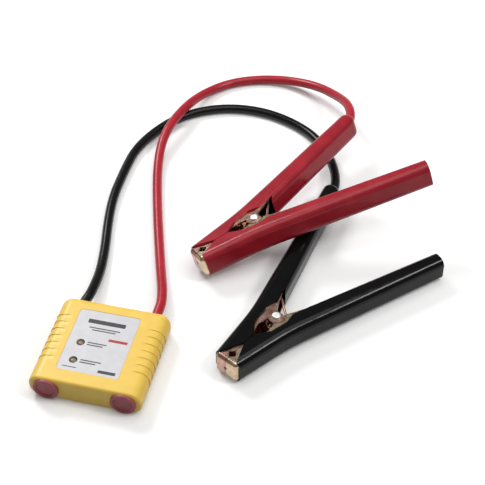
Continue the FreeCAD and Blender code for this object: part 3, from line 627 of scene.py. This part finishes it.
@dataclass
class TesterCase:
    """The moulded case with its label, lamps, plugs, screws and what it holds."""

    nodes: dict[str, bpy.types.Object]
    print_mm: float = 0.03
    bars: tuple[PrintBar, ...] = (
        PrintBar(0.0, 16.2, 24.0, 3.2),
        PrintBar(0.0, 11.2, 20.0, 0.8),
        PrintBar(0.0, 9.4, 15.0, 0.8),
        PrintBar(11.0, 3.4, 12.0, 2.0, Ink.RED),
        PrintBar(-1.0, -0.9, 12.0, 0.8),
        PrintBar(-2.0, -2.7, 10.0, 0.8),
        PrintBar(-0.5, -15.0, 13.0, 0.8),
        PrintBar(-2.0, -16.8, 10.0, 0.8),
        PrintBar(-12.0, -21.6, 9.0, 0.6),
        PrintBar(11.5, -21.4, 11.0, 2.2),
    )

    def build(self) -> None:
        """Dress the CAD pieces and print the label."""
        self.dress_outside()
        self.dress_inside()
        self.print_label()

    def dress_outside(self) -> None:
        """Dress the shells, the label, the plugs and the lamps."""
        outside = {
            "case_top": CASE_PLASTIC,
            "case_bottom": CASE_PLASTIC,
            "label_plate": LABEL_FILM,
            "left_end_plug": PLUG_RUBBER,
            "right_end_plug": PLUG_RUBBER,
        }
        for node, finish in outside.items():
            dress(self.nodes[node], finish.material())
        for node in ("upper_led", "lower_led"):
            low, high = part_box(node)
            middle = (low + high) / 2
            lens = LensFinish(f"smoky_lens_{node}", (middle.x, middle.y))
            dress(self.nodes[node], lens.material())

    def dress_inside(self) -> None:
        """Dress what the closed case hides, and the screws under it."""
        inside = {
            "circuit_board": BOARD_MASK,
            "suppressor_diodes": DIODE_EPOXY,
            "capacitor": DIODE_EPOXY,
            "varistor": VARISTOR_EPOXY,
            "resistors": RESISTOR_LACQUER,
            "case_screws": ZINC_PLATE,
        }
        for colour in LeadColour:
            inside[f"{colour.value}_terminal"] = BRASS_STOCK
            inside[f"{colour.value}_core"] = BRASS_STOCK
            inside[f"{colour.value}_lead_grommet"] = GROMMET_RUBBER
        for node, finish in inside.items():
            dress(self.nodes[node], finish.material())

    def print_label(self) -> None:
        """Print plain bars on the label, where the real one has its wording."""
        low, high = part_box("label_plate")
        middle = (low + high) / 2
        thickness = self.print_mm * MM
        for ink, finish in PRINT.items():
            name = f"label_{ink.value}_print"
            work = bmesh.new()
            for bar in self.bars:
                if bar.ink is ink:
                    size = Matrix.Diagonal((bar.width * MM, bar.height * MM, thickness, 1.0))
                    place = (middle.x + bar.x * MM, middle.y + bar.y * MM, high.z + thickness / 2)
                    bmesh.ops.create_cube(work, size=1.0, matrix=Matrix.Translation(place) @ size)
            mesh = bpy.data.meshes.new(name)
            work.to_mesh(mesh)
            work.free()
            marks = new_object(name, mesh)
            dress(marks, finish.material())
            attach(marks, ROOT_BODY)
            LOG.info("printed %s", name)


# Leads


@dataclass
class Lead:
    """A lead that leaves the case's back wall and ends in a clamp's crimp."""

    colour: LeadColour
    route_mm: tuple[Point, ...]
    exit_mm: Point
    length_mm: float
    diameter_mm: float = 6.6
    spline_order: int = 3
    steps_along: int = 16
    steps_round: int = 8

    def build(self) -> None:
        """Draw the lead as one smooth spline, with its route as the control points."""
        name = f"{self.colour.value}_lead_cord"
        curve = bpy.data.curves.new(name, "CURVE")
        curve.dimensions = "3D"
        curve.bevel_depth = self.diameter_mm / 2 * MM
        curve.bevel_resolution = self.steps_round
        curve.use_fill_caps = True
        spline = curve.splines.new("NURBS")
        spline.points.add(len(self.route_mm) - 1)
        for point, place in zip(spline.points, self.route_mm):
            point.co = (place[0] * MM, place[1] * MM, place[2] * MM, 1.0)
        spline.order_u = self.spline_order
        spline.use_endpoint_u = True
        spline.resolution_u = self.steps_along
        cord = new_object(name, curve)
        dress(cord, INSULATION[self.colour].material())
        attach(cord, ROOT_BODY)
        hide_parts(f"{self.colour.value}_lead")
        LOG.info("drew %s", name)


# Each route goes straight out of the case, lies on the floor and rises into its clamp.
# The red one passes over the black one in a low hump.
RED_LEAD = Lead(
    LeadColour.RED,
    route_mm=(
        (24.2, 22.5, 8.5), (24.2, 37, 8.5), (24, 52, 8.5), (12, 86, 3.3),
        (-6.5, 142, 3.3), (-18, 183, 4), (-19.5, 209, 10.5), (-12.5, 239, 11.2),
        (-5, 265.5, 4.5), (10.5, 283.5, 3.3), (32, 293.5, 3.3), (55, 295, 5.2),
        (78, 286.5, 10.5), (96, 269.5, 17.5), (105, 256, 23.5), (109.5, 245.5, 26.5),
        (111.7, 236.4, 26.9), (111, 226.4, 25.9), (108.2, 220.6, 25.3),
    ),
    exit_mm=(24.2, 34.5, 8.5),
    length_mm=434.6,
)
BLACK_LEAD = Lead(
    LeadColour.BLACK,
    route_mm=(
        (-24.2, 22.5, 8.5), (-24.2, 37, 8.5), (-22, 46, 8.5), (-24.5, 77, 3.3),
        (-37.5, 132, 3.3), (-38.5, 166.5, 3.3), (-37, 198, 3.3), (-19, 234, 3.3),
        (11, 253.5, 3.3), (45, 256.5, 3.3), (76.5, 244.5, 3.3), (96, 225, 4.7),
        (107, 201.5, 7.5), (111.5, 185, 9.0), (110.9, 174.5, 9.0), (109.1, 163.7, 9.0),
    ),
    exit_mm=(-24.2, 34.5, 8.5),
    length_mm=406.5,
)


# Clamps

WIRE_SIDES = 14


def wire_tree() -> bpy.types.NodeTree:
    """A tree that sweeps round wire along a curve, made once.

    Returns:
        The tree.
    """
    known = bpy.data.node_groups.get("round_wire")
    if known:
        return known
    tree = new_node_group(
        "round_wire",
        [
            ("Geometry", "NodeSocketGeometry"),
            ("Wire Radius", "NodeSocketFloat"),
            ("Finish", "NodeSocketMaterial"),
        ],
    )
    inputs = add_node(tree, "NodeGroupInput")
    section = add_node(
        tree,
        "GeometryNodeCurvePrimitiveCircle",
        {"Resolution": WIRE_SIDES},
        {"Radius": inputs.outputs["Wire Radius"]},
    )
    swept = add_node(
        tree,
        "GeometryNodeCurveToMesh",
        {"Fill Caps": True},
        {"Curve": inputs.outputs["Geometry"], "Profile Curve": section.outputs["Curve"]},
    )
    smooth = add_node(tree, "GeometryNodeSetShadeSmooth", links={"Geometry": swept.outputs["Mesh"]})
    real = add_node(tree, "GeometryNodeRealizeInstances", links={"Geometry": smooth.outputs["Geometry"]})
    dressed = add_node(
        tree,
        "GeometryNodeSetMaterial",
        links={"Geometry": real.outputs["Geometry"], "Material": inputs.outputs["Finish"]},
    )
    add_node(tree, "NodeGroupOutput", links={"Geometry": dressed.outputs["Geometry"]})
    return tree


@dataclass
class Clamp:
    """A sleeved battery clamp: two pressed arms on a rivet, with a torsion spring.

    The pivot is in metres, in the frame. The turn is the clamp's heading, pitch and roll.
    """

    colour: LeadColour
    nodes: dict[str, bpy.types.Object]
    pivot: Point
    turn_deg: tuple[float, float, float]
    spring_radius_mm: float = 7.0
    spring_wire_mm: float = 0.8
    spring_pitch_mm: float = 2.3
    spring_turns: int = 2
    spring_leg_mm: tuple[float, float] = (26.0, 22.63)
    points_per_turn: int = 40
    twist_reach_mm: float = 2.5

    def frame(self) -> Matrix:
        """The clamp's own frame: pivot at the origin, jaws towards -X, pivot axis along Z.

        Returns:
            The matrix from the clamp's frame to the part's.
        """
        heading, pitch, roll = (math.radians(angle) for angle in self.turn_deg)
        turn = Euler((roll, pitch, heading), "XYZ").to_matrix().to_4x4()
        return Matrix.Translation(self.pivot) @ turn

    def build(self) -> None:
        """Dress the clamp's CAD pieces and wind its spring."""
        finishes = {
            # the lead arm's darker, pinker copper is painted shade
            "lead_arm": SHADED_COPPER,
            "free_arm": PALE_COPPER,
            "rivet": ZINC_PLATE,
            "bush": ZINC_PLATE,
            "crimp": ZINC_PLATE,
            "lead_sleeve": VINYL[self.colour],
            "free_sleeve": VINYL[self.colour],
        }
        for part, finish in finishes.items():
            dress(self.nodes[f"{self.colour.value}_{part}"], finish.material())
        self.wind_spring()

    def spring_path(self) -> list[Vector]:
        """Work out the spring's wire, from the free arm's web to the lead arm's web.

        Returns:
            Points along the wire's middle, in millimetres, in the clamp's frame.
        """
        radius = self.spring_radius_mm
        leg_x, leg_y = self.spring_leg_mm
        bearing = math.atan2(leg_y, leg_x)
        touch = math.acos(radius / math.hypot(leg_x, leg_y))
        first = touch - bearing
        last = bearing - touch + 2 * math.pi * (self.spring_turns + 1)
        rise = self.spring_pitch_mm / (2 * math.pi)
        leg = math.sqrt(leg_x**2 + leg_y**2 - radius**2)
        slope = leg * rise / radius
        half = rise * (last - first) / 2
        count = int(self.points_per_turn * (last - first) / (2 * math.pi))
        points = [Vector((leg_x, -leg_y, -half - slope))]
        for i in range(count + 1):
            angle = first + (last - first) * i / count
            height = -half + rise * (angle - first)
            points.append(Vector((radius * math.cos(angle), radius * math.sin(angle), height)))
        points.append(Vector((leg_x, leg_y, half + slope)))
        return points

    def wind_spring(self) -> None:
        """Sweep round wire along the spring's path."""
        tone = self.colour.value
        place = self.frame()
        curve = bpy.data.curves.new(f"{tone}_spring_path", "CURVE")
        curve.dimensions = "3D"
        spline = curve.splines.new("POLY")
        path = [place @ (point * MM) for point in self.spring_path()]
        spline.points.add(len(path) - 1)
        for point, spot in zip(spline.points, path):
            point.co = (*spot, 1.0)
        wire = new_object(f"{tone}_spring_path", curve)
        values = {"Wire Radius": self.spring_wire_mm * MM, "Finish": SPRING_WIRE.material()}
        coil = run_tree(wire, wire_tree(), values, f"{tone}_spring_coil")
        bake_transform(coil)
        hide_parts(f"{tone}_spring")
        LOG.info("wound %s", coil.name)


def main() -> None:
    """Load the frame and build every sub-assembly in order."""
    logging.basicConfig(level=logging.INFO)
    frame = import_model()
    nodes = frame["nodes"]
    pivots = {joint["child"]: tuple(joint["pos_m"]) for joint in frame["joints"]}
    Studio().build()
    RED_LEAD.build()
    BLACK_LEAD.build()
    TesterCase(nodes).build()
    Clamp(LeadColour.RED, nodes, pivots["red_jaw"], turn_deg=(46.8, -9.75, -14.8)).build()
    Clamp(LeadColour.BLACK, nodes, pivots["black_jaw"], turn_deg=(62.0, 0.0, 0.0)).build()


if __name__ == "__main__":
    main()
